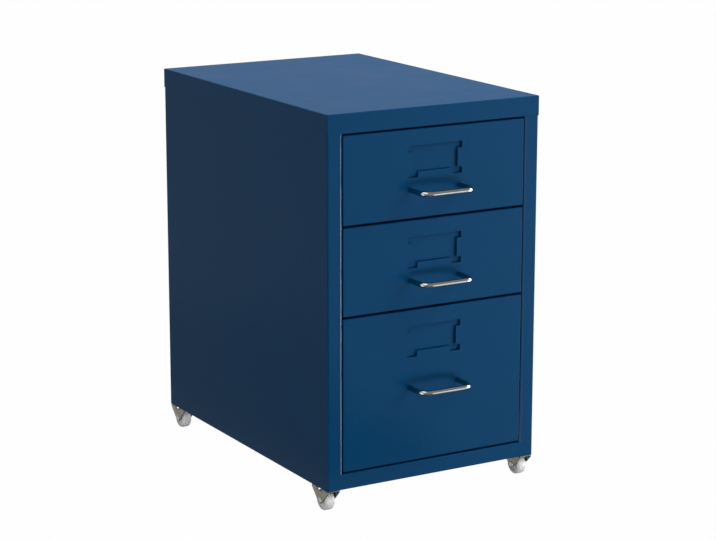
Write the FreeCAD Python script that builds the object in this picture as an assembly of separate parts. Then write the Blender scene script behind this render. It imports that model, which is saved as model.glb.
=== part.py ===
import FreeCAD
import Part
import math
import os

# A sheet-steel drawer pedestal on fixed castors, in millimetres.
# +Z is up, -Y is the front, and the origin is on the floor under the middle of the whole box.

# Cabinet
cap_width = 280.0
cap_depth = 411.0
cap_skirt = 23.0
sheet = 0.6
seat_gap = 0.05
edge_bend = 0.6
corner_bend = 1.0
stile_width = 18.5
stile_bend = 1.8
stile_return = 10.0
rail_height = 18.4
rail_return = 8.0
cap_return = 10.0
rear_flange = 14.0
side_top_flange = 10.0
floor_flange = 12.0

# Drawer fronts
small_front_height = 101.4
tall_front_height = 178.4
front_gap = 2.5
edge_gap = 2.0
side_gap = 1.0
front_return = 12.0

# Label holder, pressed into each drawer front
label_width = 70.8
label_height = 36.5
label_top_margin = 18.5
label_side_lip = 5.7
label_lip_top_relief = 7.5
label_lip_bottom_relief = 7.0
label_bottom_lip_width = 45.5
label_bottom_lip = 6.5
label_slot = 2.6
label_pocket_margin = 2.0

# Handles, bent from round rod
rod_diameter = 6.0
handle_spacing = 65.0
handle_projection = 31.5
handle_bend = 12.0
small_handle_gap = 14.0
tall_handle_gap = 35.8
screw_diameter = 4.0
screw_clearance = 0.1
thread_clearance = 0.05
handle_screw_reach = 8.0
screw_head_diameter = 7.5
screw_head_height = 2.4

# Drawer trays and runners
tray_lift = 8.0
tray_top_drop = 13.5
tray_top_flange = 6.0
tray_rear_gap = 12.0
tray_back_drop = 10.0
tray_back_flange = 10.0
drawer_travel = 285.0
stop_gap = 0.5
stop_tab_width = 5.0
stop_tab_height = 12.0
stop_tab_lift = 30.0
slide_gap = 0.3
runner_ledge = 9.5
runner_step = 10.0
runner_flange = 12.0
runner_front_gap = 2.0
runner_rear_gap = 8.0

# Back panel screws
back_screw_diameter = 3.0
back_screw_length = 7.0
back_screw_head_diameter = 6.0
back_screw_head_height = 1.8
back_screws_per_side = 3
back_screw_end_margin = 50.0

# Castors
wheel_diameter = 25.0
wheel_width = 12.4
wheel_edge = 3.6
wheel_hub_diameter = 9.0
wheel_rim = 4.5
wheel_dish = 1.0
wheel_hub_gap = 0.3
wheel_ear_gap = 0.5
wheel_crown_gap = 0.8
bracket_sheet = 1.3
bracket_bend = 0.8
bracket_inset = 0.1
bracket_shoulder = 2.5
ear_apex = 4.4
ear_slot_length = 9.8
ear_slot_height = 3.2
castor_end_margin = 1.5
axle_diameter = 4.0
axle_clearance = 0.05
rivet_head_diameter = 7.0
rivet_head_height = 0.7
castor_screw_spacing = 26.0
castor_screw_margin = 5.5
castor_screw_length = 8.0
nut_across_flats = 7.0
nut_height = 3.2
nut_sides = 6

# Points closer than this are the same point
same_point = 1e-6

# Heights worked out from the sizes above
castor_height = wheel_diameter + wheel_crown_gap + bracket_sheet
body_bottom = castor_height
rail_top = body_bottom + rail_height
lower_front_bottom = rail_top + edge_gap
middle_front_bottom = lower_front_bottom + tall_front_height + front_gap
upper_front_bottom = middle_front_bottom + small_front_height + front_gap
opening_top = upper_front_bottom + small_front_height + edge_gap
cap_top = opening_top + cap_skirt
body_top = cap_top - sheet
axle_z = wheel_diameter / 2

# Widths and depths worked out from the sizes above
side_half = cap_width / 2 - sheet - seat_gap
inner_half = side_half - sheet
opening_half = side_half - stile_width
rail_half = opening_half + sheet + stile_bend
front_half = opening_half - side_gap
tray_half = front_half - sheet - seat_gap
handle_reach = handle_projection + rod_diameter / 2
body_depth = cap_depth - 2 * (sheet + seat_gap)
overall_depth = handle_reach + body_depth + back_screw_head_height
front = handle_reach - overall_depth / 2
back = front + body_depth
cap_front = front - sheet - seat_gap
cap_back = back + sheet + seat_gap
back_panel_inner = back - 2 * sheet
tray_rear = back_panel_inner - tray_rear_gap
bracket_width = wheel_width + 2 * (wheel_ear_gap + bracket_sheet)
bracket_length = castor_screw_spacing + 2 * castor_screw_margin
castor_x = side_half - bracket_inset - bracket_width / 2
castor_front_y = front + castor_end_margin + bracket_length / 2
castor_rear_y = back - castor_end_margin - bracket_length / 2

vector = FreeCAD.Vector
X = vector(1, 0, 0)
Y = vector(0, 1, 0)
Z = vector(0, 0, 1)
ORIGIN = vector(0, 0, 0)


def block(x0, x1, y0, y1, z0, z1):
    """A box between two opposite corners."""
    return Part.makeBox(x1 - x0, y1 - y0, z1 - z0, vector(x0, y0, z0))


def rod(radius, start, end):
    """A round bar from one point to another."""
    along = end - start
    return Part.makeCylinder(radius, along.Length, start, along)


def mirrored(shape):
    """The same shape on the other side of the cabinet."""
    return shape.mirror(ORIGIN, X)


def rounded_face(corners, radii):
    """A flat face through the corners, each rounded by a tangent arc of its own radius."""
    edges = []
    arc_starts = []
    arc_ends = []
    for place, corner in enumerate(corners):
        before = corners[place - 1] - corner
        after = corners[(place + 1) % len(corners)] - corner
        before.normalize()
        after.normalize()
        radius = radii[place]
        if radius == 0:
            arc_starts.append(corner)
            arc_ends.append(corner)
            continue
        half_angle = before.getAngle(after) / 2
        toward_centre = before + after
        toward_centre.normalize()
        tangent = radius / math.tan(half_angle)
        nearest = radius / math.sin(half_angle) - radius
        arc_start = corner + before * tangent
        arc_end = corner + after * tangent
        arc = Part.Arc(arc_start, corner + toward_centre * nearest, arc_end)
        edges.append(arc.toShape())
        arc_starts.append(arc_start)
        arc_ends.append(arc_end)
    for place, line_end in enumerate(arc_starts):
        line_start = arc_ends[place - 1]
        if (line_end - line_start).Length > same_point:
            edges.append(Part.LineSegment(line_start, line_end).toShape())
    return Part.Face(Part.Wire(Part.__sortEdges__(edges)))


def folded_sheet(path, bends, along, thickness=sheet):
    """Sheet metal folded along a path of its outer face, with the metal on the path's left."""
    normal = vector(along)
    normal.normalize()
    directions = []
    for start, end in zip(path, path[1:]):
        direction = end - start
        direction.normalize()
        directions.append(direction)
    lefts = [normal.cross(direction) for direction in directions]
    outer_radii = [0]
    inner_radii = [0]
    inner = [path[0] + lefts[0] * thickness]
    for place, bend in enumerate(bends):
        first = lefts[place]
        second = lefts[place + 1]
        shift = (first + second) * (thickness / (1 + first.dot(second)))
        inner.append(path[place + 1] + shift)
        turns_left = directions[place].cross(directions[place + 1]).dot(normal) > 0
        outer_radii.append(bend + thickness if turns_left else bend)
        inner_radii.append(bend if turns_left else bend + thickness)
    inner.append(path[-1] + lefts[-1] * thickness)
    outer_radii.append(0)
    inner_radii.append(0)
    return rounded_face(path + inner[::-1], outer_radii + inner_radii[::-1]).extrude(along)


def pan(x_half, y0, y1, z0, z1, open_side):
    """A folded tray of sheet with rounded edges, open on one side: 'down' or 'back'."""
    inner_back = y1 if open_side == "back" else y1 - sheet
    inner_bottom = z0 if open_side == "down" else z0 + sheet
    outer = block(-x_half, x_half, y0, y1, z0, z1)
    inner = block(sheet - x_half, x_half - sheet, y0 + sheet, inner_back, inner_bottom, z1 - sheet)
    outer = outer.makeFillet(edge_bend + sheet, closed_edges(outer, open_side))
    inner = inner.makeFillet(edge_bend, closed_edges(inner, open_side))
    return outer.cut(inner)


def closed_edges(box, open_side):
    """The edges of a box that do not lie on its open side."""
    kept = []
    for edge in box.Edges:
        on_bottom = edge.BoundBox.ZMax < box.BoundBox.ZMin + sheet
        on_back = edge.BoundBox.YMin > box.BoundBox.YMax - sheet
        on_open_side = on_bottom if open_side == "down" else on_back
        if not on_open_side:
            kept.append(edge)
    return kept


def pan_head_screw(seat, direction, diameter, length, head_diameter, head_height):
    """A screw whose head sits on the seat point and whose shank points along the direction."""
    head = rod(head_diameter / 2, seat - direction * head_height, seat)
    shank = rod(diameter / 2, seat, seat + direction * length)
    return head.fuse(shank).removeSplitter()


def top_panel():
    """The cap: a flat top with four skirts, the front one stiffened by a return fold."""
    cap = pan(cap_width / 2, cap_front, cap_back, opening_top, cap_top, "down")
    fold_half = opening_half - seat_gap
    fold_top = opening_top + cap_skirt / 2
    fold_path = [
        vector(-fold_half, cap_front, fold_top),
        vector(-fold_half, cap_front, opening_top),
        vector(-fold_half, front + cap_return, opening_top),
    ]
    fold = folded_sheet(fold_path, [edge_bend], X * (2 * fold_half))
    fold_strip = block(-fold_half, fold_half, cap_front, cap_front + sheet, opening_top, fold_top)
    return cap.cut(fold_strip).fuse(fold).removeSplitter()


def left_side_panel():
    """One side: rear flange, side, front stile and the stile's inward return, from one sheet."""
    path = [
        vector(rear_flange - side_half, back, body_bottom),
        vector(-side_half, back, body_bottom),
        vector(-side_half, front, body_bottom),
        vector(-opening_half, front, body_bottom),
        vector(-opening_half, front + stile_return, body_bottom),
    ]
    wall_top = body_top - edge_bend
    panel = folded_sheet(path, [edge_bend, corner_bend, stile_bend], Z * (wall_top - body_bottom))
    rail_notch = block(-rail_half, 0, front, front + stile_return, body_bottom, rail_top)
    fold_start = front + stile_return + corner_bend
    fold_end = back - sheet - corner_bend
    fold_low = body_top - side_top_flange
    flange_path = [
        vector(-side_half, fold_start, fold_low),
        vector(-side_half, fold_start, body_top),
        vector(side_top_flange - side_half, fold_start, body_top),
    ]
    top_flange = folded_sheet(flange_path, [edge_bend], Y * (fold_end - fold_start))
    fold_strip = block(-side_half, -inner_half, fold_start, fold_end, fold_low, body_top)
    panel = panel.cut(rail_notch).cut(fold_strip).fuse(top_flange).removeSplitter()
    for centre in back_screw_centres(-1):
        panel = panel.cut(rod(back_screw_diameter / 2 + screw_clearance, centre - Y * sheet, centre))
    return panel


def back_screw_centres(side):
    """The points on the rear face where the back panel's screws go in."""
    x = side * (side_half - rear_flange / 2)
    low = body_bottom + back_screw_end_margin
    high = body_top - back_screw_end_margin
    step = (high - low) / (back_screws_per_side - 1)
    return [vector(x, back, low + step * place) for place in range(back_screws_per_side)]


def back_panel():
    """A flat sheet inside the rear flanges of the two sides."""
    half = inner_half - edge_bend - seat_gap
    panel = block(-half, half, back_panel_inner, back - sheet, body_bottom, body_top)
    for side in (-1, 1):
        for centre in back_screw_centres(side):
            hole_end = vector(centre.x, back_panel_inner, centre.z)
            panel = panel.cut(rod(back_screw_diameter / 2 + thread_clearance, centre, hole_end))
    return panel


def back_panel_screws():
    """The screws that hold the back panel to the rear flanges."""
    screws = []
    for side in (-1, 1):
        for centre in back_screw_centres(side):
            screws.append(
                pan_head_screw(
                    centre,
                    -Y,
                    back_screw_diameter,
                    back_screw_length,
                    back_screw_head_diameter,
                    back_screw_head_height,
                )
            )
    return Part.makeCompound(screws)


def bottom_panel():
    """The floor pan: side and rear flanges turn up, and the front flange is the rail."""
    floor_start = front + sheet + corner_bend
    floor_length = back_panel_inner - floor_start
    floor_path = [
        vector(inner_half, floor_start, body_bottom + floor_flange),
        vector(inner_half, floor_start, body_bottom),
        vector(-inner_half, floor_start, body_bottom),
        vector(-inner_half, floor_start, body_bottom + floor_flange),
    ]
    floor = folded_sheet(floor_path, [edge_bend, edge_bend], Y * floor_length)
    floor_top = body_bottom + sheet
    rail_path = [
        vector(-rail_half, front + rail_return, rail_top),
        vector(-rail_half, front, rail_top),
        vector(-rail_half, front, body_bottom),
        vector(-rail_half, floor_start, body_bottom),
    ]
    rail = folded_sheet(rail_path, [edge_bend, edge_bend], X * (2 * rail_half))
    rear_half = inner_half - sheet - edge_bend - seat_gap
    rear_start = back_panel_inner - floor_flange
    rear_strip = block(-rear_half, rear_half, rear_start, back_panel_inner, body_bottom, floor_top)
    rear_path = [
        vector(-rear_half, rear_start, body_bottom),
        vector(-rear_half, back_panel_inner, body_bottom),
        vector(-rear_half, back_panel_inner, body_bottom + floor_flange),
    ]
    rear = folded_sheet(rear_path, [edge_bend], X * (2 * rear_half))
    panel = floor.cut(rear_strip).fuse([rail, rear]).removeSplitter()
    for centre in castor_screw_centres():
        panel = panel.cut(rod(screw_diameter / 2 + screw_clearance, centre, centre + Z * sheet))
    return panel


def tray_bottom(front_bottom):
    """The height of a drawer's tray above the floor."""
    return front_bottom + tray_lift


def left_runner(front_bottom):
    """A stepped runner on the left side: flange, shelf, guide wall and the ledge under the tray."""
    ledge_top = tray_bottom(front_bottom) - slide_gap
    guide_outer = tray_half + slide_gap + sheet
    shelf = ledge_top + runner_step
    start = front + front_return + runner_front_gap
    length = back_panel_inner - runner_rear_gap - start
    path = [
        vector(runner_ledge - tray_half, start, ledge_top - sheet),
        vector(-guide_outer, start, ledge_top - sheet),
        vector(-guide_outer, start, shelf),
        vector(-inner_half, start, shelf),
        vector(-inner_half, start, shelf + runner_flange),
    ]
    return folded_sheet(path, [edge_bend, edge_bend, edge_bend], Y * length)


def label_window(front_top):
    """The outline of the opening in front of a label card, with the three lips left standing."""
    top = front_top - label_top_margin
    bottom = top - label_height
    outer = label_width / 2
    inner = outer - label_side_lip
    lip = label_bottom_lip_width / 2
    lip_start = bottom + label_lip_bottom_relief
    lip_end = top - label_lip_top_relief
    right = [
        (lip, bottom + label_bottom_lip),
        (lip, bottom),
        (outer, bottom),
        (outer, lip_start),
        (inner, lip_start),
        (inner, lip_end),
        (outer, lip_end),
        (outer, top),
    ]
    left = [(-x, z) for x, z in right[::-1]]
    corners = [vector(x, front, z) for x, z in right + left]
    return rounded_face(corners, [0] * len(corners)).extrude(Y * sheet)


def handle_height(front_top, handle_gap):
    """The height of a handle, by its gap below the label holder."""
    return front_top - label_top_margin - label_height - handle_gap


def drawer_front(front_bottom, front_height, handle_gap):
    """A folded front with a pressed label holder and two holes for the handle."""
    front_top = front_bottom + front_height
    body = pan(front_half, front, front + front_return, front_bottom, front_top, "back")
    pocket_top = front_top - label_top_margin + label_pocket_margin
    pocket_bottom = pocket_top - label_height - 2 * label_pocket_margin
    pocket_half = label_width / 2 + label_pocket_margin
    pocket_front = front + sheet
    pocket_back = pocket_front + label_slot
    cup = block(
        -pocket_half - sheet,
        pocket_half + sheet,
        pocket_front,
        pocket_back + sheet,
        pocket_bottom - sheet,
        pocket_top + sheet,
    )
    hollow = block(-pocket_half, pocket_half, pocket_front, pocket_back, pocket_bottom, pocket_top)
    body = body.cut(label_window(front_top)).fuse(cup.cut(hollow)).removeSplitter()
    hole_radius = screw_diameter / 2 + screw_clearance
    for root in handle_roots(handle_height(front_top, handle_gap)):
        body = body.cut(rod(hole_radius, root, root + Y * sheet))
    return body


def handle_roots(height):
    """The two points where a handle's legs meet the drawer front."""
    return [vector(side * handle_spacing / 2, front, height) for side in (-1, 1)]


def handle(height):
    """A rod bent to a U that lies level, drilled at both ends for its screws."""
    radius = rod_diameter / 2
    hole_radius = screw_diameter / 2 + thread_clearance
    hole_depth = handle_screw_reach + seat_gap
    bar_half = handle_spacing / 2 - handle_bend
    bar_y = front - handle_projection
    bent = rod(radius, vector(-bar_half, bar_y, height), vector(bar_half, bar_y, height))
    for root, side in zip(handle_roots(height), (-1, 1)):
        leg_end = vector(root.x, bar_y + handle_bend, height)
        section = Part.Face(Part.Wire([Part.makeCircle(radius, leg_end, Y)]))
        bend_centre = vector(side * bar_half, leg_end.y, height)
        bend = section.revolve(bend_centre, Z, -side * 90)
        bent = bent.fuse([bend, rod(radius, root, leg_end)])
        bent = bent.cut(rod(hole_radius, root, root - Y * hole_depth))
    return bent.removeSplitter()


def handle_screws(height):
    """Two screws from inside the drawer front into the ends of the rod."""
    screws = []
    for root in handle_roots(height):
        screws.append(
            pan_head_screw(
                root + Y * sheet,
                -Y,
                screw_diameter,
                handle_screw_reach + sheet,
                screw_head_diameter,
                screw_head_height,
            )
        )
    return Part.makeCompound(screws)


def drawer_tray(front_bottom, front_height):
    """The bottom and the two sides of a drawer from one sheet, with a stop tab on each side."""
    low = tray_bottom(front_bottom)
    top = front_bottom + front_height - tray_top_drop
    start = front + 2 * sheet + edge_bend
    path = [
        vector(tray_half - tray_top_flange, start, top),
        vector(tray_half, start, top),
        vector(tray_half, start, low),
        vector(-tray_half, start, low),
        vector(-tray_half, start, top),
        vector(tray_top_flange - tray_half, start, top),
    ]
    tray = folded_sheet(path, [edge_bend] * 4, Y * (tray_rear - start))
    lip_half = tray_half - sheet - edge_bend
    lip_path = [
        vector(-lip_half, start, low + sheet),
        vector(-lip_half, front + sheet, low + sheet),
        vector(-lip_half, front + sheet, front_bottom + sheet + edge_bend + seat_gap),
    ]
    lip = folded_sheet(lip_path, [edge_bend], X * (2 * lip_half))
    tab_front = front + stile_return + stop_gap + drawer_travel
    tab_low = low + stop_tab_lift
    tabs = []
    for side in (-1, 1):
        inner = side * tray_half
        outer = side * (tray_half + stop_tab_width)
        tabs.append(
            block(
                min(inner, outer),
                max(inner, outer),
                tab_front,
                tab_front + sheet,
                tab_low,
                tab_low + stop_tab_height,
            )
        )
    return tray.fuse([lip] + tabs).removeSplitter()


def drawer_back(front_bottom, front_height):
    """The back wall of a drawer, with flanges against the two sides of the tray."""
    half = tray_half - sheet
    low = tray_bottom(front_bottom) + sheet + edge_bend
    top = front_bottom + front_height - tray_top_drop - tray_back_drop
    path = [
        vector(half, tray_rear - tray_back_flange, low),
        vector(half, tray_rear, low),
        vector(-half, tray_rear, low),
        vector(-half, tray_rear - tray_back_flange, low),
    ]
    return folded_sheet(path, [edge_bend, edge_bend], Z * (top - low))


def castor_places():
    """The name of each castor with its centre on the floor."""
    places = {}
    for end, y in (("front", castor_front_y), ("rear", castor_rear_y)):
        for side, x in (("left", -castor_x), ("right", castor_x)):
            places[end + "_" + side] = vector(x, y, 0)
    return places


def castor_screw_centres():
    """The points under the floor pan where the castor screws pass through."""
    centres = []
    for place in castor_places().values():
        for side in (-1, 1):
            centres.append(place + vector(0, side * castor_screw_spacing / 2, body_bottom))
    return centres


def castor_bracket(place):
    """A stamped fork: a crown against the floor pan and two ears that taper to the axle."""
    half_width = bracket_width / 2
    half_length = bracket_length / 2
    shoulder = body_bottom - bracket_shoulder
    rise = shoulder - axle_z
    taper = math.atan2(half_length, rise) - math.asin(ear_apex / math.hypot(half_length, rise))
    tip = axle_z - ear_apex / math.sin(taper)
    path = [
        vector(-half_width, -half_length, tip),
        vector(-half_width, -half_length, body_bottom),
        vector(half_width, -half_length, body_bottom),
        vector(half_width, -half_length, tip),
    ]
    fork = folded_sheet(path, [bracket_bend, bracket_bend], Y * bracket_length, bracket_sheet)
    outline = [
        vector(-half_width, -half_length, body_bottom),
        vector(-half_width, -half_length, shoulder),
        vector(-half_width, 0, tip),
        vector(-half_width, half_length, shoulder),
        vector(-half_width, half_length, body_bottom),
    ]
    blank = rounded_face(outline, [0, 0, ear_apex, 0, 0]).extrude(X * bracket_width)
    bracket = fork.common(blank)
    slot_depth = bracket_sheet + bracket_bend
    slot = block(
        -half_width,
        slot_depth - half_width,
        -ear_slot_length / 2,
        ear_slot_length / 2,
        body_bottom - ear_slot_height,
        body_bottom,
    )
    bracket = bracket.cut([slot, mirrored(slot)])
    axle_line = vector(bracket_width, 0, 0)
    axle_centre = vector(0, 0, axle_z)
    hole = rod(axle_diameter / 2 + axle_clearance, axle_centre - axle_line, axle_centre + axle_line)
    bracket = bracket.cut(hole)
    for side in (-1, 1):
        foot = vector(0, side * castor_screw_spacing / 2, body_bottom - bracket_sheet)
        bracket = bracket.cut(rod(screw_diameter / 2 + screw_clearance, foot, foot + Z * bracket_sheet))
    bracket.translate(place)
    return bracket


def castor_axle(place):
    """A rivet through both ears, with a flat head outside each."""
    centre = place + vector(0, 0, axle_z)
    half = bracket_width / 2
    axle = rod(axle_diameter / 2, centre - X * half, centre + X * half)
    for side in (-1, 1):
        seat = centre + X * (side * half)
        axle = axle.fuse(rod(rivet_head_diameter / 2, seat, seat + X * (side * rivet_head_height)))
    return axle.removeSplitter()


def castor_wheel(place):
    """A moulded wheel with dished faces, a hub that nearly fills the fork and a tread eased in two steps."""
    bore = axle_diameter / 2 + axle_clearance
    hub = wheel_hub_diameter / 2
    radius = wheel_diameter / 2
    half = wheel_width / 2
    hub_half = bracket_width / 2 - bracket_sheet - wheel_hub_gap
    web_half = half - wheel_dish
    rim_inner = radius - wheel_rim
    middle_step = wheel_edge * (1 - math.sqrt(0.5))
    right = [
        (hub_half, bore),
        (hub_half, hub),
        (web_half, hub),
        (web_half, rim_inner),
        (half, rim_inner),
        (half, radius - wheel_edge),
        (half - middle_step, radius - middle_step),
        (half - wheel_edge, radius),
    ]
    corners = [vector(x, 0, r) for x, r in right + [(-x, r) for x, r in right[::-1]]]
    wheel = rounded_face(corners, [0] * len(corners)).revolve(ORIGIN, X, 360)
    wheel.translate(place + vector(0, 0, axle_z))
    return wheel


def castor_screws():
    """Screws from below, through each castor crown and the floor pan."""
    screws = []
    for centre in castor_screw_centres():
        screws.append(
            pan_head_screw(
                centre - Z * bracket_sheet,
                Z,
                screw_diameter,
                castor_screw_length,
                screw_head_diameter,
                screw_head_height,
            )
        )
    return Part.makeCompound(screws)


def castor_nuts():
    """A hexagon nut on each castor screw, on top of the floor pan."""
    nuts = []
    half_turn = math.pi / nut_sides
    corner_radius = nut_across_flats / 2 / math.cos(half_turn)
    for centre in castor_screw_centres():
        seat = centre + Z * sheet
        corners = []
        for step in range(nut_sides):
            angle = 2 * half_turn * step
            corners.append(seat + vector(math.cos(angle), math.sin(angle), 0) * corner_radius)
        nut = rounded_face(corners, [0] * nut_sides).extrude(Z * nut_height)
        nuts.append(nut.cut(rod(screw_diameter / 2 + thread_clearance, seat, seat + Z * nut_height)))
    return Part.makeCompound(nuts)


def build():
    """Every piece of the pedestal by name."""
    pieces = {
        "top_panel": top_panel(),
        "left_side_panel": left_side_panel(),
        "right_side_panel": mirrored(left_side_panel()),
        "back_panel": back_panel(),
        "back_panel_screws": back_panel_screws(),
        "bottom_panel": bottom_panel(),
        "castor_screws": castor_screws(),
        "castor_nuts": castor_nuts(),
    }
    for name, place in castor_places().items():
        pieces[name + "_castor_bracket"] = castor_bracket(place)
        pieces[name + "_castor_axle"] = castor_axle(place)
        pieces[name + "_castor_wheel"] = castor_wheel(place)
    drawers = {
        "upper": (upper_front_bottom, small_front_height, small_handle_gap),
        "middle": (middle_front_bottom, small_front_height, small_handle_gap),
        "lower": (lower_front_bottom, tall_front_height, tall_handle_gap),
    }
    for name, (front_bottom, front_height, handle_gap) in drawers.items():
        height = handle_height(front_bottom + front_height, handle_gap)
        runner = left_runner(front_bottom)
        pieces[name + "_left_runner"] = runner
        pieces[name + "_right_runner"] = mirrored(runner)
        pieces[name + "_drawer_front"] = drawer_front(front_bottom, front_height, handle_gap)
        pieces[name + "_drawer_tray"] = drawer_tray(front_bottom, front_height)
        pieces[name + "_drawer_back"] = drawer_back(front_bottom, front_height)
        pieces[name + "_handle"] = handle(height)
        pieces[name + "_handle_screws"] = handle_screws(height)
    return pieces


def main():
    os.makedirs("parts", exist_ok=True)
    for name, shape in build().items():
        shape.exportStep("parts/" + name + ".step")
        print(name, len(shape.Solids), "solids", round(shape.Volume, 1), shape.isValid())


main()
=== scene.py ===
import math
from collections import namedtuple

import bmesh
import bpy
from mathutils import Matrix, Vector


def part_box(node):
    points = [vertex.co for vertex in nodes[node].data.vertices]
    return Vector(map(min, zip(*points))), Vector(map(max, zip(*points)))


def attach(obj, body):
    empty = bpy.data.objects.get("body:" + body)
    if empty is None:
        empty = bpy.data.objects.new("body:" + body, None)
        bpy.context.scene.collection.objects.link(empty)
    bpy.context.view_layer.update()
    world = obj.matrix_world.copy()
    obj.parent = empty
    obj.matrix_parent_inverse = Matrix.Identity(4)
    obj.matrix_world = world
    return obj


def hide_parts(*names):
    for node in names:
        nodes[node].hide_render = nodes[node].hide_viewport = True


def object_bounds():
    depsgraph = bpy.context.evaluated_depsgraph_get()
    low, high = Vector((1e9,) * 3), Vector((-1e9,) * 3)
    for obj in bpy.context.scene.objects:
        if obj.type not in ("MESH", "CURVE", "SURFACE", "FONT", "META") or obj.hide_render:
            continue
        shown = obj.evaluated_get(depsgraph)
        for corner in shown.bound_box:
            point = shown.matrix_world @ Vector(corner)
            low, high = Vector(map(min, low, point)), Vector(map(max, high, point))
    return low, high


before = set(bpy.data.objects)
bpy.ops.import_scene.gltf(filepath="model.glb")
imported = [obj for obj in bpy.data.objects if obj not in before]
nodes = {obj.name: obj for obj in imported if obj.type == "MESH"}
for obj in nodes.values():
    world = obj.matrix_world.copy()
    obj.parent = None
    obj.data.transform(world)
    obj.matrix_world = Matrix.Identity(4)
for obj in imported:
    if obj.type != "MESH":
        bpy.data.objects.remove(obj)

# The looks of a sheet-steel drawer pedestal, in metres, in the frame of its solids.
# -Y is the front and the floor is at zero height.
cad_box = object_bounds()
DRAWERS = ("upper", "middle", "lower")
CASTORS = ("front_left", "front_right", "rear_left", "rear_right")
MILLIMETRE = 0.001
FORWARD = Vector((0.0, -1.0, 0.0))
UP = Vector((0.0, 0.0, 1.0))
SHARP_ANGLE = 35.0
SAME_PLACE = 0.01 * MILLIMETRE

# Screws with a pan head and a cross recess
Screw = namedtuple("Screw", "head_radius head_height shank_radius shank_length")
HANDLE_SCREW = Screw(
    head_radius=3.75 * MILLIMETRE,
    head_height=2.4 * MILLIMETRE,
    shank_radius=2.0 * MILLIMETRE,
    shank_length=8.6 * MILLIMETRE,
)
CASTOR_SCREW = HANDLE_SCREW._replace(shank_length=8.0 * MILLIMETRE)
BACK_SCREW = Screw(
    head_radius=3.0 * MILLIMETRE,
    head_height=1.8 * MILLIMETRE,
    shank_radius=1.5 * MILLIMETRE,
    shank_length=7.0 * MILLIMETRE,
)
CASTOR_SCREW_SPACING = 26.0 * MILLIMETRE
BACK_SCREWS_PER_SIDE = 3
RECESS_CELLS = 6
RECESS_SHARE = 0.62
RECESS_DEPTH_SHARE = 0.55
RECESS_TAPER = 0.7
HEAD_FLAT_SHARE = 0.72
HEAD_RINGS = 4
TIP_SHARE = 0.7

# Castor wheels and the rivets that they turn on
WHEEL_STEPS = 64
WHEEL_WIDTH = 12.4 * MILLIMETRE
WHEEL_EDGE = 3.6 * MILLIMETRE
WHEEL_EDGE_STEPS = 6
WHEEL_RIM = 4.5 * MILLIMETRE
WHEEL_DISH = 1.0 * MILLIMETRE
WHEEL_HUB_RADIUS = 4.5 * MILLIMETRE
WHEEL_BORE_RADIUS = 2.05 * MILLIMETRE
WHEEL_FILLET = 0.35 * MILLIMETRE
WHEEL_FILLET_STEPS = 3
RIVET_STEPS = 40
RIVET_HEAD_RADIUS = 3.5 * MILLIMETRE
RIVET_SHANK_RADIUS = 2.0 * MILLIMETRE
RIVET_HEAD_HEIGHT = 0.7 * MILLIMETRE
RIVET_DOME_STEPS = 5

# Camera, with its turns in degrees and its lens in millimetres
CAMERA_PLACE = Vector((-1.3315, -2.2975, 0.85625))
CAMERA_TILT = 76.748
CAMERA_ROLL = -0.168
CAMERA_TURN = -30.098
CAMERA_LENS = 113.384
SENSOR_WIDTH = 36.0


def from_srgb(red, green, blue):
    """A colour given in steps of 255 as the linear colour that shaders take."""
    linear = []
    for step in (red, green, blue):
        share = step / 255
        if share <= 0.04045:
            linear.append(share / 12.92)
        else:
            linear.append(((share + 0.055) / 1.055) ** 2.4)
    return (*linear, 1.0)


def grey(level):
    """An even grey as a linear colour."""
    return (level, level, level, 1.0)


# Colours, each finish's darker one first, and roughness from the smoothest places to the roughest
WHITE = grey(1.0)
PAINT_COLOURS = (from_srgb(3, 57, 94), from_srgb(4, 59, 97))
CHROME_COLOURS = ((0.385, 0.41, 0.415, 1.0), (0.435, 0.46, 0.465, 1.0))
ZINC_COLOURS = ((0.125, 0.118, 0.095, 1.0), (0.235, 0.225, 0.185, 1.0))
RIVET_COLOURS = ((0.26, 0.25, 0.22, 1.0), (0.36, 0.35, 0.32, 1.0))
NYLON_COLOURS = (grey(0.71), grey(0.81))
PAINT_ROUGHNESS = (0.4, 0.5)
CHROME_ROUGHNESS = (0.05, 0.09)
ZINC_ROUGHNESS = (0.34, 0.5)
RIVET_ROUGHNESS = (0.2, 0.36)
NYLON_ROUGHNESS = (0.36, 0.46)
PATTERN_RANGE = (0.3, 0.7)
PAINT_SPECULAR = 0.003
COAT_WEIGHT = 0.125
COAT_ROUGHNESS = 0.26

# The fold of a side panel's stile into the opening
STILE_WIDTH = 18.5 * MILLIMETRE
FOLD_SIZE = 1.8 * MILLIMETRE
FOLD_FADE = 0.6 * MILLIMETRE
FOLD_COAT_WEIGHT = 1.0

# Floor and surroundings
FLOOR_HALF = 12.0
FLOOR_COLOUR = grey(0.15)
FLOOR_WHITE_SHARE = 0.99
SURROUND_COLOUR = grey(0.15)

# A hood over the front that only gloss shows, a painted grey reflection, which rises from its lowest to
# its highest angle in degrees
HOOD_RADIUS = 5.0
HOOD_HALF_WIDTH = 6.0
HOOD_LOWEST = 2.0
HOOD_HIGHEST = 110.0
HOOD_STEPS = 24
HOOD_GREY = grey(0.36)

# Level patches of painted shade that only gloss shows: name, low corner, high corner, height and grey
SHADE_HEIGHT = 0.1 * MILLIMETRE
PIT_HEIGHT = -3.0
SHADES = (
    # Painted shadow of the floor in reflections: darkest under the object's left half, and half dark on
    # its left.
    ("shade_under", cad_box[0].xy, (0.0, cad_box[1].y), SHADE_HEIGHT, grey(0.06)),
    ("shade_beside", (-0.55, -0.15), (-0.2, 0.8), SHADE_HEIGHT, grey(0.7)),
    # Painted shade in reflections: one on the front left keeps the folds that face it dark, and one far
    # below darkens round metal.
    ("shade_before", (-1.6, -2.2), (0.1, -0.3), SHADE_HEIGHT, grey(0.2)),
    ("shade_below", (-5.0, -2.4), (5.0, 3.0), PIT_HEIGHT, grey(0.15)),
)

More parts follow.
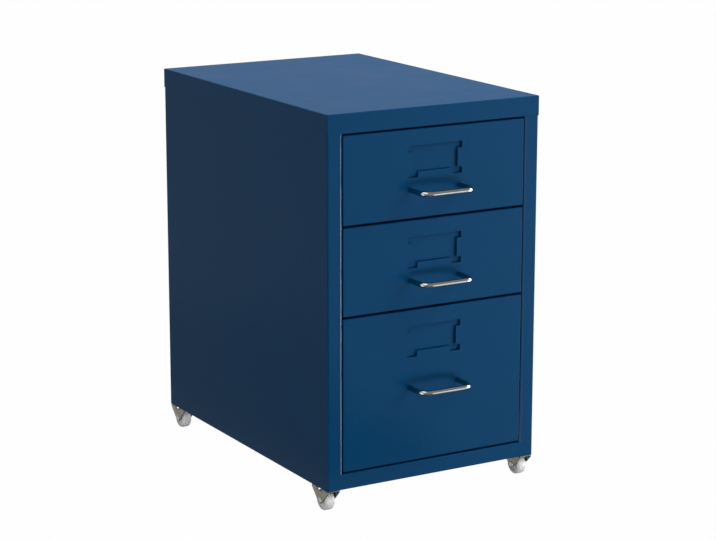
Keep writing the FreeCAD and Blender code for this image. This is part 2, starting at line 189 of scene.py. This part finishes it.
# Lamps turned to the middle of the object: name, place, width and height, watts, and what they light
MIDDLE = Vector((0.0, 0.0, 0.23))
LAMPS = (
    ("overhead", (0.2, 0.2, 2.4), (2.0, 2.0), 58.0, "matt"),
    ("low_front", (0.5, -5.2, -1.1), (3.5, 1.0), 124.0, "matt"),
    ("front_right", (1.3, -1.1, 1.5), (1.1, 1.1), 27.0, "matt"),
    ("right_fill", (1.1, -1.1, 0.3), (0.7, 0.7), 4.8, "matt"),
    ("left_fill", (-2.4, -0.6, 0.2), (1.4, 1.0), 14.0, "matt"),
    ("back_fill", (1.5, 3.5, 1.2), (2.0, 2.0), 55.0, "matt"),
    ("front_gloss", (1.6, -3.0, -0.55), (1.4, 1.6), 5.0, "gloss"),
    ("right_strip", (1.7, -0.3, 0.5), (0.5, 1.4), 12.0, "gloss"),
    ("right_soft", (2.0, -0.2, -0.35), (3.0, 0.7), 40.0, "gloss"),
    ("left_high", (-1.25, -0.3, 2.3), (1.8, 0.7), 18.0, "gloss"),
    ("left_low", (-1.9, -0.7, -1.0), (1.6, 0.7), 13.0, "gloss"),
)


def new_material(name):
    """A material with its node tree, its surface shader and a source of object coordinates."""
    material = bpy.data.materials.new(name)
    material.use_nodes = True
    tree = material.node_tree
    shader = tree.nodes["Principled BSDF"]
    coordinates = tree.nodes.new("ShaderNodeTexCoord").outputs["Object"]
    return material, tree, shader, coordinates


def noise(tree, coordinates, scale, detail):
    """An even noise pattern, in cells of one over the scale."""
    texture = tree.nodes.new("ShaderNodeTexNoise")
    texture.inputs["Scale"].default_value = scale
    texture.inputs["Detail"].default_value = detail
    tree.links.new(coordinates, texture.inputs["Vector"])
    return texture.outputs["Fac"]


def mapped(tree, number, old_range, new_range):
    """A number carried from one range over to another, and held at its ends."""
    spread = tree.nodes.new("ShaderNodeMapRange")
    ends = ("From Min", "From Max", "To Min", "To Max")
    for end, limit in zip(ends, (*old_range, *new_range)):
        spread.inputs[end].default_value = limit
    tree.links.new(number, spread.inputs["Value"])
    return spread.outputs["Result"]


def combined(tree, operation, *numbers):
    """A number worked out from others, which are links or plain numbers."""
    node = tree.nodes.new("ShaderNodeMath")
    node.operation = operation
    for socket, number in zip(node.inputs, numbers):
        if isinstance(number, float):
            socket.default_value = number
        else:
            tree.links.new(number, socket)
    return node.outputs[0]


def coloured(tree, pattern, colours, shader):
    """Spreads a pattern between two base colours."""
    ramp = tree.nodes.new("ShaderNodeValToRGB")
    for element, position, colour in zip(ramp.color_ramp.elements, PATTERN_RANGE, colours):
        element.position = position
        element.color = colour
    tree.links.new(pattern, ramp.inputs["Fac"])
    tree.links.new(ramp.outputs["Color"], shader.inputs["Base Color"])


def roughened(tree, pattern, roughness, shader):
    """Spreads a pattern between two values of roughness."""
    spread = mapped(tree, pattern, PATTERN_RANGE, roughness)
    tree.links.new(spread, shader.inputs["Roughness"])


def bumped(tree, pattern, distance, strength, shader):
    """Raises a surface by a pattern."""
    bump = tree.nodes.new("ShaderNodeBump")
    bump.inputs["Distance"].default_value = distance
    bump.inputs["Strength"].default_value = strength
    tree.links.new(pattern, bump.inputs["Height"])
    tree.links.new(bump.outputs["Normal"], shader.inputs["Normal"])


def fading(tree, distance, end):
    """One up to a distance and nought a little past it."""
    return mapped(tree, distance, (end, end + FOLD_FADE), (1.0, 0.0))


def polish_folds(tree, coordinates, shader):
    """Makes the coat glossier on the folds from the front stiles into the opening."""
    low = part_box("left_side_panel")[0]
    fold_end = -low.x - STILE_WIDTH + FOLD_SIZE
    fold_depth = low.y + FOLD_SIZE
    axes = tree.nodes.new("ShaderNodeSeparateXYZ")
    tree.links.new(coordinates, axes.inputs[0])
    from_middle = combined(tree, "ABSOLUTE", axes.outputs["X"])
    across = fading(tree, from_middle, fold_end)
    along = fading(tree, axes.outputs["Y"], fold_depth)
    fold = combined(tree, "MULTIPLY", across, along)
    weight = mapped(tree, fold, (0.0, 1.0), (COAT_WEIGHT, FOLD_COAT_WEIGHT))
    tree.links.new(weight, shader.inputs["Coat Weight"])


def powder_coat(name, glossy_folds):
    """Blue powder coat: an even satin colour with a fine orange peel."""
    material, tree, shader, coordinates = new_material(name)
    drift = noise(tree, coordinates, scale=14.0, detail=3.0)
    peel = noise(tree, coordinates, scale=650.0, detail=2.0)
    coloured(tree, drift, PAINT_COLOURS, shader)
    roughened(tree, drift, PAINT_ROUGHNESS, shader)
    bumped(tree, peel, distance=0.02 * MILLIMETRE, strength=0.35, shader=shader)
    shader.inputs["Specular IOR Level"].default_value = PAINT_SPECULAR
    shader.inputs["Coat Weight"].default_value = COAT_WEIGHT
    shader.inputs["Coat Roughness"].default_value = COAT_ROUGHNESS
    if glossy_folds:
        polish_folds(tree, coordinates, shader)
    return material


def chrome_plate():
    """Polished plate on the handle rod, with the faint haze of handling."""
    material, tree, shader, coordinates = new_material("chrome_plate")
    haze = noise(tree, coordinates, scale=90.0, detail=4.0)
    grain = noise(tree, coordinates, scale=2200.0, detail=2.0)
    coloured(tree, haze, CHROME_COLOURS, shader)
    roughened(tree, haze, CHROME_ROUGHNESS, shader)
    bumped(tree, grain, distance=0.004 * MILLIMETRE, strength=0.2, shader=shader)
    shader.inputs["Metallic"].default_value = 1.0
    return material


def zinc_plate(name, colours, roughness):
    """Zinc on steel, clouded and slightly warm."""
    material, tree, shader, coordinates = new_material(name)
    cloud = noise(tree, coordinates, scale=260.0, detail=4.0)
    grain = noise(tree, coordinates, scale=1800.0, detail=2.0)
    coloured(tree, cloud, colours, shader)
    roughened(tree, grain, roughness, shader)
    bumped(tree, grain, distance=0.01 * MILLIMETRE, strength=0.3, shader=shader)
    shader.inputs["Metallic"].default_value = 1.0
    return material


def moulded_nylon():
    """White nylon with the bloom of a moulded skin."""
    material, tree, shader, coordinates = new_material("moulded_nylon")
    bloom = noise(tree, coordinates, scale=180.0, detail=3.0)
    skin = noise(tree, coordinates, scale=1500.0, detail=2.0)
    coloured(tree, bloom, NYLON_COLOURS, shader)
    roughened(tree, skin, NYLON_ROUGHNESS, shader)
    bumped(tree, skin, distance=0.012 * MILLIMETRE, strength=0.25, shader=shader)
    return material


finishes = {
    "blue_paint": powder_coat("blue_powder_coat", glossy_folds=False),
    "folded_paint": powder_coat("folded_powder_coat", glossy_folds=True),
    "chrome": chrome_plate(),
    "zinc_plate": zinc_plate("dull_zinc_plate", ZINC_COLOURS, ZINC_ROUGHNESS),
    "rivet": zinc_plate("rivet_zinc_plate", RIVET_COLOURS, RIVET_ROUGHNESS),
    "nylon": moulded_nylon(),
}


def dress_solids():
    """Gives every solid the finish of its material slot, and the side panels their glossy folds."""
    for name, node in nodes.items():
        slot_name = node.data.materials[0].name
        if name.endswith("side_panel"):
            node.material_slots[0].material = finishes["folded_paint"]
        else:
            node.material_slots[0].material = finishes[slot_name]


def new_object(bm, name):
    """Turns a mesh under construction into an object of the scene."""
    mesh = bpy.data.meshes.new(name)
    bm.to_mesh(mesh)
    bm.free()
    holder = bpy.data.objects.new(name, mesh)
    bpy.context.scene.collection.objects.link(holder)
    return holder


def add_piece(bm, name, body, slot_name, replaced, finish=None):
    """Turns a mesh under construction into a piece that stands for some solids."""
    bmesh.ops.recalc_face_normals(bm, faces=bm.faces)
    piece = new_object(bm, name)
    piece.data.shade_smooth()
    piece.data.set_sharp_from_angle(angle=math.radians(SHARP_ANGLE))
    piece.data.materials.append(finishes[finish or slot_name])
    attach(piece, body)
    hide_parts(*replaced)


def loop_after(bm, edges, scale, drop):
    """Extrudes a level loop of edges, scales it about the Z axis and lowers it."""
    grown = bmesh.ops.extrude_edge_only(bm, edges=edges)["geom"]
    verts = [item for item in grown if isinstance(item, bmesh.types.BMVert)]
    bmesh.ops.scale(bm, vec=(scale, scale, 1.0), verts=verts)
    bmesh.ops.translate(bm, vec=(0.0, 0.0, -drop), verts=verts)
    level = set(verts)
    return [edge for edge in bm.edges if edge.verts[0] in level and edge.verts[1] in level]


def recessed_flat(bm, radius, depth):
    """The round flat on top of a screw head with its cross recess. Returns the edges round the flat."""
    half = radius * RECESS_SHARE
    bmesh.ops.create_grid(bm, x_segments=RECESS_CELLS, y_segments=RECESS_CELLS, size=half)
    cell = 2 * half / RECESS_CELLS
    cross = []
    for face in bm.faces:
        centre = face.calc_center_median()
        across = min(abs(centre.x), abs(centre.y))
        reach = max(abs(centre.x), abs(centre.y))
        if across < cell and reach < half - cell:
            cross.append(face)
    rim = [edge for edge in bm.edges if edge.is_boundary]
    circle = bmesh.ops.create_circle(bm, segments=len(rim), radius=radius)["verts"]
    outline = [edge for edge in bm.edges if edge.verts[0] in circle and edge.verts[1] in circle]
    bmesh.ops.bridge_loops(bm, edges=rim + outline)
    sunk = bmesh.ops.extrude_face_region(bm, geom=cross)["geom"]
    bmesh.ops.delete(bm, geom=cross, context="FACES_ONLY")
    floor = [item for item in sunk if isinstance(item, bmesh.types.BMVert)]
    bmesh.ops.translate(bm, vec=(0.0, 0.0, -depth), verts=floor)
    bmesh.ops.scale(bm, vec=(RECESS_TAPER, RECESS_TAPER, 1.0), verts=floor)
    return outline


def add_screw(bm, kind, seat, direction):
    """Adds a pan head screw with its head on the seat point and its shank along the direction."""
    screw = bmesh.new()
    flat_radius = kind.head_radius * HEAD_FLAT_SHARE
    ring = recessed_flat(screw, flat_radius, kind.head_height * RECESS_DEPTH_SHARE)
    radius = flat_radius
    depth = 0.0
    for step in range(1, HEAD_RINGS + 1):
        turn = math.pi / 2 * step / HEAD_RINGS
        new_radius = flat_radius + (kind.head_radius - flat_radius) * math.sin(turn)
        new_depth = kind.head_height * (1 - math.cos(turn))
        ring = loop_after(screw, ring, new_radius / radius, new_depth - depth)
        radius = new_radius
        depth = new_depth
    ring = loop_after(screw, ring, kind.shank_radius / radius, 0.0)
    tip = kind.shank_radius * (1 - TIP_SHARE)
    ring = loop_after(screw, ring, 1.0, kind.shank_length - tip)
    ring = loop_after(screw, ring, TIP_SHARE, tip)
    bmesh.ops.contextual_create(screw, geom=ring)
    upright = (-UP).rotation_difference(direction).to_matrix().to_4x4()
    place = Matrix.Translation(seat - direction * kind.head_height) @ upright
    bmesh.ops.transform(screw, matrix=place, verts=screw.verts)
    bmesh.ops.recalc_face_normals(screw, faces=screw.faces)
    mesh = bpy.data.meshes.new("screw")
    screw.to_mesh(mesh)
    screw.free()
    bm.from_mesh(mesh)
    bpy.data.meshes.remove(mesh)


def spun(outline, steps):
    """A closed form: an outline of points along the X axis and away from it, turned once about it."""
    bm = bmesh.new()
    verts = [bm.verts.new((along, 0.0, radius)) for along, radius in outline]
    edges = [bm.edges.new(pair) for pair in zip(verts, verts[1:])]
    bmesh.ops.spin(
        bm,
        geom=verts + edges,
        cent=(0.0, 0.0, 0.0),
        axis=(1.0, 0.0, 0.0),
        angle=2 * math.pi,
        steps=steps,
        use_merge=True,
    )
    bmesh.ops.remove_doubles(bm, verts=bm.verts, dist=SAME_PLACE)
    bmesh.ops.recalc_face_normals(bm, faces=bm.faces)
    return bm


def ring_edges(bm, along, radius):
    """The edges of a spun form that lie at one place along the axle and at one radius."""
    ring = []
    for edge in bm.edges:
        ends = [(vert.co.x, math.hypot(vert.co.y, vert.co.z)) for vert in edge.verts]
        if all(math.hypot(x - along, r - radius) < SAME_PLACE for x, r in ends):
            ring.append(edge)
    return ring


def rounded(bm, edges, size, steps):
    """Rounds some edges off."""
    bmesh.ops.bevel(
        bm,
        geom=edges,
        offset=size,
        offset_type="OFFSET",
        affect="EDGES",
        segments=steps,
        profile=0.5,
        material=-1,
    )


def castor_wheel(castor):
    """A moulded wheel with a rounded tread, dished faces and a hub, on its axle."""
    solid = castor + "_castor_wheel"
    low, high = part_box(solid)
    centre = (low + high) / 2
    radius = (high.z - low.z) / 2
    hub_half = (high.x - low.x) / 2
    half = WHEEL_WIDTH / 2
    web_half = half - WHEEL_DISH
    rim_inner = radius - WHEEL_RIM
    right = [
        (hub_half, WHEEL_BORE_RADIUS),
        (hub_half, WHEEL_HUB_RADIUS),
        (web_half, WHEEL_HUB_RADIUS),
        (web_half, rim_inner),
        (half, rim_inner),
        (half, radius),
    ]
    left = [(-along, ring) for along, ring in right[::-1]]
    outline = right + left
    bm = spun(outline + outline[:1], WHEEL_STEPS)
    for along, ring in outline:
        if ring == radius:
            rounded(bm, ring_edges(bm, along, ring), WHEEL_EDGE, WHEEL_EDGE_STEPS)
        else:
            rounded(bm, ring_edges(bm, along, ring), WHEEL_FILLET, WHEEL_FILLET_STEPS)
    bmesh.ops.translate(bm, vec=centre, verts=bm.verts)
    add_piece(bm, castor + "_wheel_moulding", castor + "_wheel", "nylon", [solid])


def castor_rivet(castor):
    """The rivet that a wheel turns on, with a low domed head outside each ear."""
    solid = castor + "_castor_axle"
    low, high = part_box(solid)
    centre = (low + high) / 2
    seat = (high.x - low.x) / 2 - RIVET_HEAD_HEIGHT
    right = [(seat, RIVET_SHANK_RADIUS)]
    for step in range(RIVET_DOME_STEPS + 1):
        turn = math.pi / 2 * step / RIVET_DOME_STEPS
        along = seat + RIVET_HEAD_HEIGHT * math.sin(turn)
        right.append((along, RIVET_HEAD_RADIUS * math.cos(turn)))
    left = [(-along, ring) for along, ring in right]
    bm = spun(left[::-1] + right, RIVET_STEPS)
    bmesh.ops.translate(bm, vec=centre, verts=bm.verts)
    add_piece(bm, castor + "_axle_rivet", "cabinet", "zinc_plate", [solid], finish="rivet")


def handle_screws(drawer):
    """The two screws that hold a handle, from inside the drawer front."""
    solid = drawer + "_handle_screws"
    low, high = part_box(solid)
    centre = (low + high) / 2
    reach = (high.x - low.x) / 2 - HANDLE_SCREW.head_radius
    depth = high.y - HANDLE_SCREW.head_height
    bm = bmesh.new()
    for side in (-1, 1):
        seat = Vector((centre.x + side * reach, depth, centre.z))
        add_screw(bm, HANDLE_SCREW, seat, FORWARD)
    add_piece(bm, drawer + "_handle_screw_pair", drawer + "_drawer", "zinc_plate", [solid])


def castor_screws():
    """The screws that hold the castors, two from below through each crown."""
    solid = "castor_screws"
    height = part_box(solid)[0].z + CASTOR_SCREW.head_height
    bm = bmesh.new()
    for castor in CASTORS:
        low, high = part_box(castor + "_castor_bracket")
        centre = (low + high) / 2
        for side in (-1, 1):
            seat = Vector((centre.x, centre.y + side * CASTOR_SCREW_SPACING / 2, height))
            add_screw(bm, CASTOR_SCREW, seat, UP)
    add_piece(bm, "castor_screw_set", "cabinet", "zinc_plate", [solid])


def back_screws():
    """The screws that hold the back panel, in a row down each rear flange."""
    solid = "back_panel_screws"
    low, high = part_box(solid)
    centre = (low + high) / 2
    reach = (high.x - low.x) / 2 - BACK_SCREW.head_radius
    depth = high.y - BACK_SCREW.head_height
    lowest = low.z + BACK_SCREW.head_radius
    step = (high.z - low.z - 2 * BACK_SCREW.head_radius) / (BACK_SCREWS_PER_SIDE - 1)
    bm = bmesh.new()
    for side in (-1, 1):
        for place in range(BACK_SCREWS_PER_SIDE):
            seat = Vector((centre.x + side * reach, depth, lowest + step * place))
            add_screw(bm, BACK_SCREW, seat, FORWARD)
    add_piece(bm, "back_screw_set", "cabinet", "zinc_plate", [solid])


def bare_material(name):
    """A material with nothing in its node tree yet, and the socket that its surface goes to."""
    material = bpy.data.materials.new(name)
    material.use_nodes = True
    tree = material.node_tree
    tree.nodes.clear()
    surface = tree.nodes.new("ShaderNodeOutputMaterial").inputs["Surface"]
    return material, tree, surface


def glow(tree, colour):
    """An even light of one colour, where white reads white."""
    emission = tree.nodes.new("ShaderNodeEmission")
    emission.inputs["Color"].default_value = colour
    emission.inputs["Strength"].default_value = 1.0
    return emission.outputs[0]


def seen_directly(tree):
    """One for rays from the camera, from gloss and through clear stuff, and nought for the rest."""
    path = tree.nodes.new("ShaderNodeLightPath")
    first = combined(tree, "MAXIMUM", path.outputs["Is Camera Ray"], path.outputs["Is Glossy Ray"])
    return combined(tree, "MAXIMUM", first, path.outputs["Is Transmission Ray"])


def add_floor():
    """A floor that reads white in the picture, keeps a faint shadow and lets the low lamps through."""
    bm = bmesh.new()
    bmesh.ops.create_grid(bm, x_segments=1, y_segments=1, size=FLOOR_HALF)
    floor = new_object(bm, "studio_floor")
    material, tree, surface = bare_material("studio_floor")
    matt = tree.nodes.new("ShaderNodeBsdfDiffuse")
    matt.inputs["Color"].default_value = FLOOR_COLOUR
    mix = tree.nodes.new("ShaderNodeMixShader")
    share = combined(tree, "MULTIPLY", seen_directly(tree), FLOOR_WHITE_SHARE)
    tree.links.new(share, mix.inputs["Fac"])
    tree.links.new(matt.outputs[0], mix.inputs[1])
    tree.links.new(glow(tree, WHITE), mix.inputs[2])
    tree.links.new(mix.outputs[0], surface)
    floor.data.materials.append(material)
    floor.visible_shadow = False
    floor.visible_glossy = False


def add_card(bm, name, colour):
    """A glowing card of one even colour that only gloss shows, a painted reflection."""
    card = new_object(bm, name)
    material, tree, surface = bare_material(name)
    tree.links.new(glow(tree, colour), surface)
    card.data.materials.append(material)
    card.visible_camera = False
    card.visible_diffuse = False
    card.visible_shadow = False
    card.visible_transmission = False


def add_hood():
    """A grey hood over the front that only gloss shows: a painted reflection, so that round metal has a
    dark upper side.
    """
    bm = bmesh.new()
    lowest = math.radians(HOOD_LOWEST)
    reach = -HOOD_RADIUS * math.cos(lowest)
    height = HOOD_RADIUS * math.sin(lowest)
    ends = [bm.verts.new((side * HOOD_HALF_WIDTH, reach, height)) for side in (-1, 1)]
    edge = bm.edges.new(ends)
    bmesh.ops.spin(
        bm,
        geom=ends + [edge],
        cent=(0.0, 0.0, 0.0),
        axis=(-1.0, 0.0, 0.0),
        angle=math.radians(HOOD_HIGHEST - HOOD_LOWEST),
        steps=HOOD_STEPS,
        use_merge=False,
    )
    add_card(bm, "studio_hood", HOOD_GREY)


def add_shade(name, low_corner, high_corner, height, colour):
    """A level patch of painted shade at the floor or below it, which only gloss shows."""
    left, front = low_corner
    right, back = high_corner
    corners = [(left, front), (right, front), (right, back), (left, back)]
    bm = bmesh.new()
    bm.faces.new([bm.verts.new((x, y, height)) for x, y in corners])
    add_card(bm, name, colour)


def add_world():
    """White surroundings for the picture, and a dimmer even light for everything else."""
    world = bpy.data.worlds.new("studio")
    bpy.context.scene.world = world
    world.use_nodes = True
    tree = world.node_tree
    background = tree.nodes["Background"]
    mix = tree.nodes.new("ShaderNodeMix")
    mix.data_type = "RGBA"
    mix.inputs["A"].default_value = SURROUND_COLOUR
    mix.inputs["B"].default_value = WHITE
    tree.links.new(seen_directly(tree), mix.inputs["Factor"])
    tree.links.new(mix.outputs["Result"], background.inputs["Color"])
    background.inputs["Strength"].default_value = 1.0


def add_lamp(name, place, size, power, lights):
    """A soft rectangular lamp turned to the object, that lights matt surfaces or gloss."""
    lamp = bpy.data.lights.new(name, "AREA")
    lamp.shape = "RECTANGLE"
    lamp.size, lamp.size_y = size
    lamp.energy = power
    holder = bpy.data.objects.new(name, lamp)
    holder.location = place
    holder.rotation_euler = (MIDDLE - place).to_track_quat("-Z", "Y").to_euler()
    holder.visible_camera = False
    holder.visible_diffuse = lights == "matt"
    holder.visible_glossy = lights == "gloss"
    bpy.context.scene.collection.objects.link(holder)


def add_camera():
    """The camera at the photograph's place, aim and lens."""
    camera = bpy.data.cameras.new("camera")
    camera.sensor_width = SENSOR_WIDTH
    camera.lens = CAMERA_LENS
    holder = bpy.data.objects.new("camera", camera)
    holder.location = CAMERA_PLACE
    holder.rotation_mode = "YXZ"
    holder.rotation_euler = [math.radians(turn) for turn in (CAMERA_TILT, CAMERA_ROLL, CAMERA_TURN)]
    bpy.context.scene.collection.objects.link(holder)
    bpy.context.scene.camera = holder


dress_solids()
for castor in CASTORS:
    castor_wheel(castor)
    castor_rivet(castor)
for drawer in DRAWERS:
    handle_screws(drawer)
castor_screws()
back_screws()

add_floor()
add_hood()
for shade in SHADES:
    add_shade(*shade)
add_world()
for name, place, size, power, lights in LAMPS:
    add_lamp(name, Vector(place), size, power, lights)
add_camera()
bpy.context.scene.view_settings.view_transform = "Standard"
